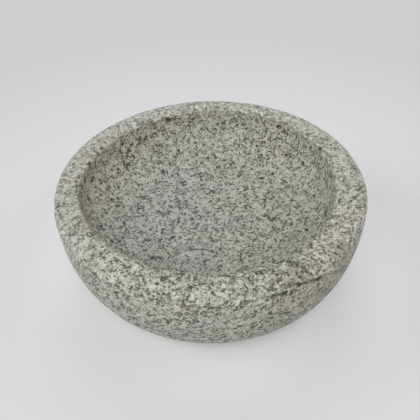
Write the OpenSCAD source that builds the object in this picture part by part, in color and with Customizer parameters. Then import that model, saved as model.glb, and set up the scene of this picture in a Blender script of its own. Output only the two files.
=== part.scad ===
// Molcajete: a wide, shallow mortar bowl carved from one block of granite.
// It is one solid of revolution about +Z. The origin is the centre of the flat base.

/* [Outside] */
// Diameter at the widest place, just below the lip
bowl_d = 220; // [160:1:260]
// Height from the base to the crest of the lip
bowl_h = 77; // [65:1:90]
// Diameter of the flat ground base
base_d = 150; // [100:1:150]
// How far the base is ground up into the round of the belly
base_cut = 2.2; // [0.5:0.1:6]
// Fullness of the belly: 2 is an ellipse, more gives a steeper wall and a tighter turn to the base
belly_fullness = 2.4; // [2:0.1:3]

/* [Lip] */
// Width of the lip, from the widest place in to the mouth
lip_w = 21; // [12:1:24]
// How far the lip's crest stands above the widest place
lip_outer_drop = 7; // [3:0.5:12]
// How far the lip's crest stands above the mouth
lip_inner_drop = 4; // [2:0.5:8]
// Fullness of the lip outside its crest: 2 is an ellipse, more is flatter with a tighter edge
lip_outer_fullness = 2.2; // [2:0.1:3]
// Fullness of the lip inside its crest
lip_inner_fullness = 3; // [2:0.1:4]

/* [Hollow] */
// Depth of the hollow below the mouth, at its centre
hollow_depth = 42; // [25:1:48]
// Fullness of the hollow: 2 is an ellipse, more gives steeper walls and a flatter floor
hollow_fullness = 2.4; // [2:0.1:3]

/* [Hidden] */

bowl_r = bowl_d / 2;
base_r = base_d / 2;
mouth_r = bowl_r - lip_w;
crest_r = bowl_r - lip_w / 2;
widest_z = bowl_h - lip_outer_drop;
mouth_z = bowl_h - lip_inner_drop;

// Flat stretches that stand for each curve of the outline
belly_steps = 22;
lip_steps = 8;
hollow_steps = 26;
// Flat stretches round the bowl in a mesh of it
turn_steps = 180;

// One half-width of a superellipse at a share of the other, as a share of itself
function beside(share, fullness) = pow(1 - pow(share, fullness), 1 / fullness);

// Points on a quarter of a superellipse, from the end of its across half-width towards the end of
// its up half-width, both signed: the last one is at the angle end, and 90 is the whole quarter
function curve(centre, across, up, fullness, steps, end = 90) =
    [for (i = [0:steps])
        let (a = end * i / steps, power = 2 / fullness)
        centre + [across * pow(cos(a), power), up * pow(sin(a), power)]];

// A list of points from its last to its first, and a list without its first
function reversed(points) = [for (i = [len(points) - 1:-1:0]) points[i]];
function tail(points) = [for (i = [1:len(points) - 1]) points[i]];

// The belly's superellipse would reach base_cut below the base, which cuts it off at base_r
belly_up = widest_z + base_cut;
belly_across = (bowl_r - base_r) / (1 - beside(widest_z / belly_up, belly_fullness));
belly_centre = [bowl_r - belly_across, widest_z];
belly_end = asin(pow(widest_z / belly_up, belly_fullness / 2));

belly = curve(belly_centre, belly_across, -belly_up, belly_fullness, belly_steps, belly_end);
lip_outside =
    curve([crest_r, widest_z], bowl_r - crest_r, lip_outer_drop, lip_outer_fullness, lip_steps);
lip_inside =
    curve([crest_r, mouth_z], mouth_r - crest_r, lip_inner_drop, lip_inner_fullness, lip_steps);
hollow = curve([0, mouth_z], mouth_r, -hollow_depth, hollow_fullness, hollow_steps);

// Out along the base, up the belly, over the lip and down into the hollow
outline = concat(
    [[0, 0], [base_r, 0]],
    tail(reversed(belly)),
    tail(lip_outside),
    tail(reversed(lip_inside)),
    tail(hollow));

module bowl() {
    color("#aeaca2")
        rotate_extrude($fn = turn_steps)
            polygon(outline);
}

bowl();
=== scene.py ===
"""Molcajete: a mortar bowl carved from one block of grey speckled granite, on a pale table.

The CAD node "bowl" is a smooth turned solid. It is replaced by the same shape dressed by hand:
an uneven mouth, peck marks, chipped edges and pits, with a granite material. The stone is only
ever cut into, so the piece stays inside the CAD solid's box.
"""
import math

import bpy
import numpy as np
from mathutils import Matrix, Vector, noise


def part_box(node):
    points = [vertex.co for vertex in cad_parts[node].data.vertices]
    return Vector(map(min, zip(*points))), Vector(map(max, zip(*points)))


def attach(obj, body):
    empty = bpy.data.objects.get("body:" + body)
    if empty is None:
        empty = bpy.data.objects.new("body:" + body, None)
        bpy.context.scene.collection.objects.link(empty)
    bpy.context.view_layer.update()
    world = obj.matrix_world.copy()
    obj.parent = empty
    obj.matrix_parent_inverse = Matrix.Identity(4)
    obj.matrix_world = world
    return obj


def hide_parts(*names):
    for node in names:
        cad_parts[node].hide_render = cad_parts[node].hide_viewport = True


MM = 0.001

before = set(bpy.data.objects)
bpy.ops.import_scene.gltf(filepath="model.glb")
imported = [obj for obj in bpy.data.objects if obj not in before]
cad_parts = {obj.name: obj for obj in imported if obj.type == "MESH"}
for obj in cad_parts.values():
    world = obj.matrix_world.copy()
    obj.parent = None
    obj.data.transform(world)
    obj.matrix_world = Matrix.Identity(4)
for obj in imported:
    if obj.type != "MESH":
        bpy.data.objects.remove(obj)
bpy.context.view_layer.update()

# ---------------------------------------------------------------- sizes, in millimetres
low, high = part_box("bowl")
BOWL_R = (high.x - low.x) / 2 / MM
BOWL_H = (high.z - low.z) / MM

# The same outline as the CAD solid has, in shares of its radius or height where they drive it
BASE_R = BOWL_R * 75 / 110
BASE_CUT = 2.2
BELLY_FULLNESS = 2.4
LIP_W = BOWL_R * 21 / 110
LIP_OUTER_DROP = 7.0
LIP_INNER_DROP = 4.0
LIP_OUTER_FULLNESS = 2.2
LIP_INNER_FULLNESS = 3.0
HOLLOW_DEPTH = BOWL_H * 42 / 77
HOLLOW_FULLNESS = 2.4

MOUTH_R = BOWL_R - LIP_W
CREST_R = BOWL_R - LIP_W / 2
WIDEST_Z = BOWL_H - LIP_OUTER_DROP
MOUTH_Z = BOWL_H - LIP_INNER_DROP

# How far apart the mesh's rings are on the flat base, on the lip and elsewhere, how far from the
# crest the lip's fine rings reach, and how many points the widest rings have away from the lip
BASE_STEP = 6.0
LIP_STEP = 0.95
RING_STEP = 1.45
LIP_REACH = 19.0
WIDEST_RING = 512


# ---------------------------------------------------------------- outline

def curve(centre, across, up, fullness, end=90.0, steps=120):
    """Points on a quarter of a superellipse, from its across half-width towards its up one."""
    power = 2 / fullness
    angles = np.radians(np.linspace(0, end, steps))
    across_part = np.clip(np.cos(angles), 0, 1) ** power
    up_part = np.clip(np.sin(angles), 0, 1) ** power
    return np.stack([centre[0] + across * across_part, centre[1] + up * up_part], 1)


def outline():
    """Points [radius, height] from the base's centre over the lip to the hollow's centre."""
    belly_up = WIDEST_Z + BASE_CUT
    share = WIDEST_Z / belly_up
    beside = (1 - share ** BELLY_FULLNESS) ** (1 / BELLY_FULLNESS)
    belly_across = (BOWL_R - BASE_R) / (1 - beside)
    belly_end = math.degrees(math.asin(share ** (BELLY_FULLNESS / 2)))
    belly_centre = (BOWL_R - belly_across, WIDEST_Z)
    belly = curve(belly_centre, belly_across, -belly_up, BELLY_FULLNESS, belly_end)[::-1]
    lip_outside = curve((CREST_R, WIDEST_Z), BOWL_R - CREST_R, LIP_OUTER_DROP, LIP_OUTER_FULLNESS)
    lip_inside = curve((CREST_R, MOUTH_Z), MOUTH_R - CREST_R, LIP_INNER_DROP, LIP_INNER_FULLNESS)
    lip_inside = lip_inside[::-1]
    hollow = curve((0, MOUTH_Z), MOUTH_R, -HOLLOW_DEPTH, HOLLOW_FULLNESS)
    return np.concatenate([[[0, 0]], belly, lip_outside[1:], lip_inside[1:], hollow[1:]])


def ring_places():
    """For each ring, in order: radius, height and distance from the crest, inwards positive."""
    line = outline()
    gaps = np.hypot(*np.diff(line, axis=0).T)
    along = np.concatenate([[0], np.cumsum(gaps)])
    crest = along[np.argmax(line[:, 1])]
    fine = np.linspace(0, along[-1], 4000)
    radius = np.interp(fine, along, line[:, 0])
    height = np.interp(fine, along, line[:, 1])
    step = np.where(abs(fine - crest) < LIP_REACH, LIP_STEP, RING_STEP)
    step[(height <= 0) & (radius < 0.97 * BASE_R)] = BASE_STEP
    steps_taken = np.concatenate([[0], np.cumsum(np.diff(fine) / step[:-1])])
    even_steps = np.linspace(0, steps_taken[-1], round(steps_taken[-1]) + 1)
    places = np.interp(even_steps, steps_taken, fine)
    return np.interp(places, fine, radius), np.interp(places, fine, height), places - crest


# ---------------------------------------------------------------- mesh of the turned shape

def ring_size(radius, along):
    """Points on a ring: half as many each time the radius halves, and twice as many on the lip."""
    if abs(along) < LIP_REACH:
        return 2 * WIDEST_RING
    halvings = max(0, int(math.log2(BOWL_R / max(radius, 1))))
    return max(8, WIDEST_RING >> halvings)


def ring_faces(start, size, next_start, next_size):
    """Faces between two rings, where the second has as many points, half as many or twice."""
    faces = []
    for j in range(min(size, next_size)):
        if size == next_size:
            k = (j + 1) % size
            faces.append((start + j, start + k, next_start + k, next_start + j))
        elif size > next_size:
            a, b, c = (start + (2 * j + i) % size for i in (0, 1, 2))
            near, far = next_start + j, next_start + (j + 1) % next_size
            faces += [(a, b, near), (b, far, near), (b, c, far)]
        else:
            a, b, c = (next_start + (2 * j + i) % next_size for i in (0, 1, 2))
            near, far = start + j, start + (j + 1) % size
            faces += [(near, b, a), (near, far, b), (far, c, b)]
    return faces


def turned_mesh():
    """Per point: angle, radius, height, distance from the crest and normal; and the faces."""
    radius, height, along = ring_places()
    slope = np.stack([np.gradient(radius, along), np.gradient(height, along)], 1)
    slope /= np.hypot(*slope.T)[:, None]
    inner = zip(radius[1:-1], along[1:-1])
    sizes = [1] + [ring_size(*place) for place in inner] + [1]
    starts = np.concatenate([[0], np.cumsum(sizes)]).tolist()
    angle = np.concatenate([np.arange(size) * 2 * math.pi / size for size in sizes])
    row = np.repeat(np.arange(len(sizes)), sizes)
    last = len(sizes) - 1
    faces = [(0, 1 + (j + 1) % sizes[1], 1 + j) for j in range(sizes[1])]
    for i in range(1, last - 1):
        faces += ring_faces(starts[i], sizes[i], starts[i + 1], sizes[i + 1])
    first, size = starts[last - 1], sizes[last - 1]
    faces += [(first + j, first + (j + 1) % size, starts[last]) for j in range(size)]
    return {
        "angle": angle,
        "radius": radius[row],
        "height": height[row],
        "along": along[row],
        "out": slope[row, 1],
        "up": -slope[row, 0],
        "faces": faces,
    }


# ---------------------------------------------------------------- hand dressing

# How the mouth departs from a circle: lobes round it, size in mm, and where one of them lies
MOUTH_LOBES = [(1, 0.8, 100), (2, 1.1, 50), (3, 1.4, 63)]
# How much the dressing takes off on average in mm, and the lobes round the bowl where it takes off
# less, given in the same way
AVERAGE_CUT = 0.65
PROUD_LOBES = [(1, 0.45, -45), (3, 0.12, 40)]

# Places along the outline are in mm from the crest of the lip, inwards positive, and angles round
# the bowl are in degrees from +X. The front is at -90.
# The lip's rough face: its middle, and how far from there it starts and ends fading out
LIP_MIDDLE = -2
LIP_FADE = (12, 20)
# Angle round the bowl at which the chisel bit deepest into the lip
ROUGHEST_SIDE = -80
# Where the hollow's worn floor fades in, and where its scooped wall fades in and out
WORN_FADE = (25, 70)
WALL_FADE_IN = (10, 18)
WALL_FADE_OUT = (45, 70)
# The lip's crumbled edges: place, width and depth in mm, then the size and shift of the noise that
# breaks them up, and the level above which it bites
OUTER_EDGE = (-14, 2.5, 1.2, 3.6, 8.8, -0.15)
INNER_EDGE = (9.5, 3.5, 1.5, 5.5, 6.6, 0.05)

# Relief left by the tools: depth in mm, size of its bumps in mm, and a shift that sets its noise
# apart from the others
ROUNDING = (0.12, 34, 3.1)
SCOOPS = (0.35, 15, 9.9)
FACETS = (0.22, 9, 7.7)
FINE_PITS = (0.12, 1.7, 5.9)
# Pecks, given in the same way, with the level above which the noise bites
PECKS = (0.45, 2.3, 1.3, 0.12)
# Joints between lumps, given in the same way, with the size and shift of the patches they come in
JOINTS = (0.45, 4.2, 2.3, 7.0, 4.4)
# Seed of noise_vector(), which bends the joints: without one it draws from the clock
BEND_SEED = 1794844186
# The dressing never takes off less than this in mm, except on the base, which stays flat
LEAST_CUT = 0.02

# Marks in the stone: angle round the bowl, place along the outline, length and width in mm, how
# far the length is turned from the run of the lip, and depth in mm
MARKS = [
    (-60, 4, 9.0, 2.2, 54, 1.2),
    (-58, -4, 7.0, 2.2, 83, 1.1),
    (-56, 11, 3.0, 2.0, 90, 1.0),
    (-70, -13, 12.0, 1.6, -3, 1.0),
    (-60, -12, 9.0, 1.6, 4, 1.1),
    (-55, -10, 3.5, 2.6, 0, 0.9),
    (-61, -7, 4.5, 2.6, 40, 0.9),
    (-65, -9, 5.0, 3.0, 20, 1.0),
    (-68, -4, 4.0, 2.4, -30, 0.8),
    (-71, -8, 3.6, 2.6, 60, 0.9),
    (112, 13, 3.2, 2.6, 0, 1.2),
    (166, 11, 3.0, 2.6, 0, 1.1),
    (52, 16, 3.4, 2.2, 0, 0.8),
    (22, 11, 3.4, 2.4, 0, 0.8),
    (-103, -9, 3.0, 2.2, 60, 0.8),
    (-107, 2, 2.4, 2.0, 20, 0.7),
]

# Nests of mica, given like the marks, with a strength in place of the depth
MICA_NESTS = [
    (112, 14, 6, 5, 0, 1.0),
    (128, 21, 5, 4, 0, 0.5),
    (141, 18, 5, 4, 0, 0.7),
    (166, 12, 5, 5, 0, 0.9),
    (175, 15, 5, 4, 0, 0.7),
    (-166, -7, 5, 4, 0, 1.0),
    (-55, -15, 5, 4, 0, 0.9),
    (-17, -8, 5, 4, 0, 0.9),
    (-9, -5, 5, 4, 0, 1.0),
    (-1, 74, 5, 5, 0, 0.8),
    (4, -4, 5, 4, 0, 0.8),
    (22, 11, 6, 5, 0, 0.9),
    (52, 16, 6, 4, 0, 0.8),
]

# Stains, given in the same way: rust, and a film of oil. Some of them are painted light, as noted
# Rust: the first patch, on the left wall of the hollow, also paints in warm bounce light
RUST_AND_BOUNCE = [(175, 22, 130, 36, 0, 1.0), (-42, -16, 80, 44, 0, 1.0), (110, 16, 70, 16, 0, 0.6)]
OIL_AND_SHADE = [
    (-10, 40, 120, 110, 0, 0.5),
    (-60, 0, 120, 40, 0, 0.5),
    (-64, -7, 46, 34, 0, 1.0),
    (-92, -2, 60, 24, 0, 0.6),
    # Painted shade on the outer front right, the side turned from the light
    (-45, -42, 110, 90, 0, 0.75),
    (-100, 0, 120, 30, 0, 0.25),
    (-176, -2, 90, 28, 0, 0.45),
]


def smoothstep(x, start, end):
    """0 up to start, 1 from end on, and smooth between them."""
    t = np.clip((x - start) / (end - start), 0, 1)
    return t * t * (3 - 2 * t)


def waves(points, size, shift):
    """Smooth noise from -1 to 1 at points in mm, its bumps about size across."""
    offset = Vector((shift, 2 * shift, -shift))
    return np.array([noise.noise(Vector(p) / size + offset) for p in points.tolist()])


def relief(points, depth, size, shift):
    """Smooth waves up to depth deep, with bumps about size mm across."""
    return depth * waves(points, size, shift)


def bites(points, depth, size, shift, level):
    """Pits where the noise of waves() rises above a level."""
    return depth * np.clip(waves(points, size, shift) - level, 0, None)


def crumbs(points, along, place, width, *bite):
    """Bites in a strip of the given width along one edge of the lip."""
    return np.exp(-((along - place) / width) ** 2) * bites(points, *bite)


def crevices(points, size, shift):
    """1 along the joints between lumps about size mm across, falling to 0 away from them."""
    noise.seed_set(BEND_SEED)
    offset = Vector((shift, -shift, 2 * shift))
    joints = []
    for p in points.tolist():
        place = Vector(p) / size + offset
        place += 0.35 * noise.noise_vector(4 * place)
        nearest, second = noise.voronoi(place)[0][:2]
        joints.append(1 - (second - nearest) / 0.30)
    return np.clip(joints, 0, 1) ** 2


def lobed(angle, lobes):
    """How far the given lobes stand out at each angle round the bowl."""
    return sum(size * np.cos(count * (angle - math.radians(direction)))
               for count, size, direction in lobes)


def spots(turned, places):
    """The strongest of the given places at each point, each fading out round its middle."""
    strongest = np.zeros(len(turned["angle"]))
    for angle, along, length, width, turn, strength in places:
        swing = (turned["angle"] - math.radians(angle) + math.pi) % (2 * math.pi) - math.pi
        u = swing * turned["radius"]
        v = -(turned["along"] - along)
        c, s = math.cos(math.radians(turn)), math.sin(math.radians(turn))
        reach = ((u * c + v * s) / (length / 2)) ** 2 + ((v * c - u * s) / (width / 2)) ** 2
        strongest = np.maximum(strongest, strength * np.exp(-reach))
    return strongest


def dressed(turned):
    """Points in mm after the dressing, and how deep the pits are there."""
    angle, radius = turned["angle"], turned["radius"].copy()
    along, height = turned["along"], turned["height"]
    across, sideways = np.cos(angle), np.sin(angle)
    # The lobes fade out towards the crest of the lip and towards the middle of the floor
    inside = smoothstep(along, 2, 10) * smoothstep(radius, 0.15 * BOWL_R, 0.7 * BOWL_R)
    radius += inside * lobed(angle, MOUTH_LOBES)
    points = np.stack([radius * across, radius * sideways, height], 1)
    normal = np.stack([turned["out"] * across, turned["out"] * sideways, turned["up"]], 1)

    wall = smoothstep(along, *WALL_FADE_IN) * (1 - smoothstep(along, *WALL_FADE_OUT))
    slow = AVERAGE_CUT - lobed(angle, PROUD_LOBES) + relief(points, *ROUNDING)
    slow += wall * relief(points, *SCOOPS)

    depth, size, shift, patch_size, patch_shift = JOINTS
    patches = smoothstep(waves(points, patch_size, patch_shift), -0.25, 0.35)
    joints = depth * crevices(points, size, shift) * patches
    crumbled = crumbs(points, along, *OUTER_EDGE) + crumbs(points, along, *INNER_EDGE)

    # Only the sharper part of the relief counts as pits, which dirt and painted shade darken
    rough = 0.45 + 0.55 * turned["chiselled"] - 0.2 * turned["worn"]
    pits = rough * (bites(points, *PECKS) + relief(points, *FINE_PITS) + joints)
    pits += 0.7 * crumbled
    pits += spots(turned, MARKS)
    cut = slow + rough * relief(points, *FACETS) + pits + 0.3 * crumbled
    cut = np.clip(cut, LEAST_CUT, None)
    on_base = (height < 0.3) & (along < 0)
    cut[on_base] = 0
    pits[on_base] = 0
    return points - normal * cut[:, None], pits


def bowl_piece():
    turned = turned_mesh()
    # The lip is the roughest, most of all in front, and the hollow's floor is ground smooth by use
    turned["lip"] = 1 - smoothstep(abs(turned["along"] - LIP_MIDDLE), *LIP_FADE)
    facing = 0.5 + 0.5 * np.cos(turned["angle"] - math.radians(ROUGHEST_SIDE))
    turned["chiselled"] = turned["lip"] * (0.55 + 0.45 * facing ** 4)
    turned["worn"] = smoothstep(turned["along"], *WORN_FADE)
    points, pits = dressed(turned)
    mesh = bpy.data.meshes.new("bowl_stone")
    mesh.from_pydata((points * MM).tolist(), [], turned["faces"])
    mesh.polygons.foreach_set("use_smooth", [True] * len(mesh.polygons))
    looks = {
        "pit": pits,
        "lip": turned["lip"],
        "chiselled": turned["chiselled"],
        "worn": turned["worn"],
        "mica": spots(turned, MICA_NESTS),
        "rust_and_bounce": spots(turned, RUST_AND_BOUNCE),
        "oil_and_shade": spots(turned, OIL_AND_SHADE),
    }
    for name, values in looks.items():
        mesh.attributes.new(name, "FLOAT", "POINT").data.foreach_set("value", values)
    mesh.update()
    bowl = bpy.data.objects.new("bowl_stone", mesh)
    bpy.context.scene.collection.objects.link(bowl)
    return bowl


# ---------------------------------------------------------------- materials

class Nodes:
    """Builds shader nodes: add() makes one, sets its fields and fills or links its inputs."""

    def __init__(self, owner):
        owner.use_nodes = True
        self.tree = owner.node_tree
        self.tree.nodes.clear()

    def add(self, kind, inputs=None, **fields):
        node = self.tree.nodes.new("ShaderNode" + kind)
        for field, value in fields.items():
            setattr(node, field, value)
        for key, value in (inputs or {}).items():
            if isinstance(value, bpy.types.NodeSocket):
                self.tree.links.new(value, node.inputs[key])
            else:
                node.inputs[key].default_value = value
        return node

    def attribute(self, name):
        """A float that the mesh stores at each point."""
        return self.add("Attribute", attribute_name=name).outputs["Fac"]

    def maths(self, operation, a, b):
        return self.add("Math", {0: a, 1: b}, operation=operation).outputs[0]

    def vector(self, operation, a, b):
        return self.add("VectorMath", {0: a, 1: b}, operation=operation).outputs[0]

    def total(self, *terms):
        """The sum of value times weight over the terms."""
        total = 0.0
        for value, weight in terms:
            total = self.add(
                "Math", {0: value, 1: weight, 2: total}, operation="MULTIPLY_ADD").outputs[0]
        return total

    def mix(self, share, a, b, blend="MIX"):
        inputs = {0: share, 6: a, 7: b}
        return self.add("Mix", inputs, data_type="RGBA", blend_type=blend).outputs[2]

    def ramp(self, value, stops):
        """A colour ramp: stops is a list of (position, colour), the colour a grey or r, g, b."""
        node = self.add("ValToRGB", {0: value})
        ramp = node.color_ramp
        while len(ramp.elements) < len(stops):
            ramp.elements.new(0.5)
        for element, (position, colour) in zip(ramp.elements, stops):
            element.position = position
            rgb = colour if isinstance(colour, tuple) else (colour,) * 3
            element.color = (*rgb, 1)
        return node.outputs[0]

    def noise(self, points, size, detail=2.0, roughness=0.5, output=0):
        """Noise with bumps about size mm across, at points in mm."""
        inputs = {"Vector": points, "Scale": 1 / size, "Detail": detail, "Roughness": roughness}
        return self.add("TexNoise", inputs).outputs[output]

    def crystals(self, points, size):
        """A random number from 0 to 1 for each crystal, about size mm across."""
        node = self.add("TexVoronoi", {"Vector": points, "Scale": 1 / size, "Randomness": 1.0})
        return self.add("SeparateColor", {0: node.outputs["Color"]}).outputs[0]


# Sizes of the crystals in mm, and how far their outlines stray
FINE_GRAIN = 0.95
COARSE_GRAIN = 2.3
RAGGEDNESS = 2.2
# Size in mm of the lumps that the chisel left on the lip
LUMP = 3.4

# Colours of the crystals, and the tone that those on the smoother part of the lip lean to
MICA = (0.045, 0.044, 0.036)
DARK_GRAIN = (0.165, 0.163, 0.139)
QUARTZ = (0.325, 0.323, 0.284)
FELDSPAR = (0.525, 0.523, 0.469)
WHITE_FELDSPAR = (0.690, 0.686, 0.622)
GROUND_STONE = (0.42, 0.42, 0.375)


def granite():
    material = bpy.data.materials.new("granite")
    n = Nodes(material)
    place = n.add("TexCoord").outputs["Object"]
    points = n.vector("MULTIPLY", place, (1 / MM,) * 3)
    # Crystals have ragged outlines
    ragged = n.noise(points, 1.0, detail=3, roughness=0.6, output=1)
    shift = n.vector("MULTIPLY", n.vector("SUBTRACT", ragged, (0.5,) * 3), (RAGGEDNESS,) * 3)
    points_ragged = n.vector("ADD", points, shift)
    fine = n.crystals(points_ragged, FINE_GRAIN)
    coarse = n.crystals(points_ragged, COARSE_GRAIN)
    # Mica gathers in drifts, grains of one kind lean together, and each is gritty inside
    drifts = n.noise(points, 5.0, detail=3)
    grit = n.noise(points, 0.5, detail=2)
    nests = n.attribute("mica")
    leaning = n.total(
        (fine, 0.90), (coarse, 0.48), (drifts, 0.55), (grit, 0.68), (nests, -0.65), (1.0, -0.805))
    colour = n.ramp(leaning, [
        (0.15, MICA), (0.25, DARK_GRAIN), (0.33, QUARTZ), (0.46, FELDSPAR), (0.66, FELDSPAR),
        (0.92, WHITE_FELDSPAR)])
    # On the lip, painted shade darkens the joints between the lumps that the chisel left
    lumps = {"Vector": points_ragged, "Scale": 1 / LUMP}
    joint_shade = n.add("TexVoronoi", lumps, feature="DISTANCE_TO_EDGE").outputs["Distance"]
    joint_shade = n.ramp(joint_shade, [(0.02, 1.0), (0.12, 0.0)])
    patches = n.ramp(n.noise(points, 6.0, detail=2), [(0.42, 0.0), (0.60, 1.0)])
    chiselled = n.attribute("chiselled")
    share = n.maths("MULTIPLY", n.maths("MULTIPLY", joint_shade, patches), chiselled)
    colour = n.mix(n.maths("MULTIPLY", share, 0.7), colour, (*DARK_GRAIN, 1))
    # Slow drifts of tint, rust on some walls with painted warm bounce light on the left one, and
    # an oily film where the hand goes in, with painted shade on the outer front right
    tint = n.ramp(n.noise(points, 22.0, detail=3), [
        (0.34, (1.02, 0.995, 0.985)), (0.50, (1.0, 1.0, 1.0)), (0.64, (0.99, 1.0, 0.96))])
    colour = n.mix(1.0, colour, tint, "MULTIPLY")
    rust_and_bounce = n.ramp(n.attribute("rust_and_bounce"), [(0.0, 1.0), (1.0, (1.03, 0.975, 0.965))])
    colour = n.mix(1.0, colour, rust_and_bounce, "MULTIPLY")
    oil_and_shade = n.ramp(n.attribute("oil_and_shade"), [
        (0.0, 1.0), (0.5, (0.88, 0.885, 0.845)), (1.0, (0.74, 0.735, 0.70))])
    colour = n.mix(1.0, colour, oil_and_shade, "MULTIPLY")
    # The lip's face is painted paler than the rest, standing in for the light its upward face
    # catches
    on_lip = n.attribute("lip")
    colour = n.mix(1.0, colour, n.ramp(on_lip, [(0.0, 0.83), (1.0, 1.0)]), "MULTIPLY")
    # Where the lip is less chiselled, its grains stand out less
    smoother = n.maths("SUBTRACT", on_lip, chiselled)
    colour = n.mix(n.maths("MULTIPLY", smoother, 0.42), colour, (*GROUND_STONE, 1))
    # Ground by use, the floor of the hollow is smoother and a little cooler
    worn = n.attribute("worn")
    cool = n.ramp(worn, [(0.0, 1.0), (1.0, (0.955, 0.97, 0.985))])
    colour = n.mix(1.0, colour, cool, "MULTIPLY")
    # Dirt and painted shade darken the pits, the marks and the crumbled edges
    dirt_and_shade = n.ramp(n.attribute("pit"), [(0.12, 1.0), (0.60, 0.42)])
    colour = n.mix(1.0, colour, dirt_and_shade, "MULTIPLY")
    # Relief: mica is plucked out, feldspar stands proud, and the whole is finely broken
    grains = n.ramp(leaning, [(0.20, 0.0), (0.42, 1.0)])
    broken = n.noise(points, 0.8, detail=4, roughness=0.6)
    height = n.total((grains, 0.5), (broken, 1.0))
    bump = n.add("Bump", {"Height": height, "Strength": 0.8, "Distance": 0.30 * MM})
    roughness = n.ramp(fine, [(0.0, 0.62), (0.5, 0.85), (1.0, 0.74)])
    roughness = n.maths("MULTIPLY", roughness, n.total((worn, -0.30), (1.0, 1.0)))
    shader = n.add("BsdfPrincipled", {
        "Base Color": colour, "Roughness": roughness, "Normal": bump.outputs[0],
        "Specular IOR Level": 0.5})
    n.add("OutputMaterial", {0: shader.outputs[0]})
    return material


def table_top():
    material = bpy.data.materials.new("table_top")
    n = Nodes(material)
    place = n.add("TexCoord").outputs["Object"]
    grain = n.noise(place, 0.03, detail=2)
    # Painted light: it is paler round the bowl, thinning the shade under its belly, and darker
    # further out, a painted falloff of the light
    distance = n.add("VectorMath", {0: place}, operation="LENGTH").outputs["Value"]
    colour = n.ramp(distance, [
        (0.09, (0.84, 0.84, 0.85)), (0.16, (0.70, 0.70, 0.71)), (0.40, (0.60, 0.60, 0.607))])
    shader = n.add("BsdfPrincipled", {
        "Base Color": colour, "Roughness": n.ramp(grain, [(0.0, 0.70), (1.0, 0.80)]),
        "Specular IOR Level": 0.1})
    n.add("OutputMaterial", {0: shader.outputs[0]})
    return material


# ---------------------------------------------------------------- table, light and camera

# Half the width of the table, and its height: just under the base, so that the two faces don't lie
# in one plane
TABLE_HALF = 30.0
TABLE_Z = -0.05 * MM


def table():
    square = [(-1, -1), (1, -1), (1, 1), (-1, 1)]
    corners = [(x * TABLE_HALF, y * TABLE_HALF, TABLE_Z) for x, y in square]
    mesh = bpy.data.meshes.new("table")
    mesh.from_pydata(corners, [], [(0, 1, 2, 3)])
    mesh.materials.append(table_top())
    top = bpy.data.objects.new("table", mesh)
    bpy.context.scene.collection.objects.link(top)


# Softboxes round the table: azimuth from the front towards the right, elevation, and watts per
# square metre where the bowl stands; and how wide each one looks from there, in degrees
SOFTBOXES = {
    "front": (0, 50, 1.32),
    "front_left": (-45, 50, 0.34),
    "right": (90, 45, 0.34),
    "left": (-90, 22, 0.70),
    "back": (180, 50, 0.52),
}
SOFTBOX_ANGLE = 35


def softbox(name, azimuth, elevation, strength):
    """A round softbox far enough away to light the whole table alike."""
    light = bpy.data.lights.new(name, "SUN")
    light.angle = math.radians(SOFTBOX_ANGLE)
    light.energy = strength
    lamp = bpy.data.objects.new(name, light)
    side, rise = math.radians(azimuth), math.radians(elevation)
    towards = Vector((
        math.sin(side) * math.cos(rise), -math.cos(side) * math.cos(rise), math.sin(rise)))
    lamp.rotation_euler = towards.to_track_quat("Z", "Y").to_euler()
    bpy.context.scene.collection.objects.link(lamp)


def lighting():
    scene = bpy.context.scene
    scene.view_settings.view_transform = "Standard"
    world = bpy.data.worlds.new("studio")
    n = Nodes(world)
    # The room is bright near the horizon and dimmer overhead
    direction = n.add("TexCoord").outputs["Generated"]
    height = n.add("SeparateXYZ", {0: direction}).outputs["Z"]
    room = n.ramp(height, [(0.0, 0.66), (0.60, 0.30)])
    n.add("OutputWorld", {0: n.add("Background", {0: room}).outputs[0]})
    scene.world = world
    for name, place_and_strength in SOFTBOXES.items():
        softbox(name, *place_and_strength)


# The camera's distance from the base's centre and how high it stands over it, which way it looks,
# and how wide it sees: angles in degrees
CAMERA_DISTANCE = 3.985 * BOWL_R * MM
CAMERA_ELEVATION = 46.4
CAMERA_PITCH = 42.0
CAMERA_YAW = -0.07
CAMERA_ROLL = -1.3
CAMERA_ANGLE = 42


def camera():
    """The view from above the front of the bowl."""
    data = bpy.data.cameras.new("camera")
    data.angle = math.radians(CAMERA_ANGLE)
    data.clip_start = 0.01
    eye = bpy.data.objects.new("camera", data)
    turn = Matrix.Rotation(-math.radians(CAMERA_YAW), 4, "Z")
    turn = turn @ Matrix.Rotation(math.pi / 2 - math.radians(CAMERA_PITCH), 4, "X")
    turn = turn @ Matrix.Rotation(math.radians(CAMERA_ROLL), 4, "Z")
    rise = math.radians(CAMERA_ELEVATION)
    place = CAMERA_DISTANCE * Vector((0, -math.cos(rise), math.sin(rise)))
    eye.matrix_world = Matrix.Translation(place) @ turn
    bpy.context.scene.collection.objects.link(eye)
    bpy.context.scene.camera = eye


camera()
bowl = bowl_piece()
bowl.data.materials.append(granite())
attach(bowl, "root")
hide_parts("bowl")
table()
lighting()
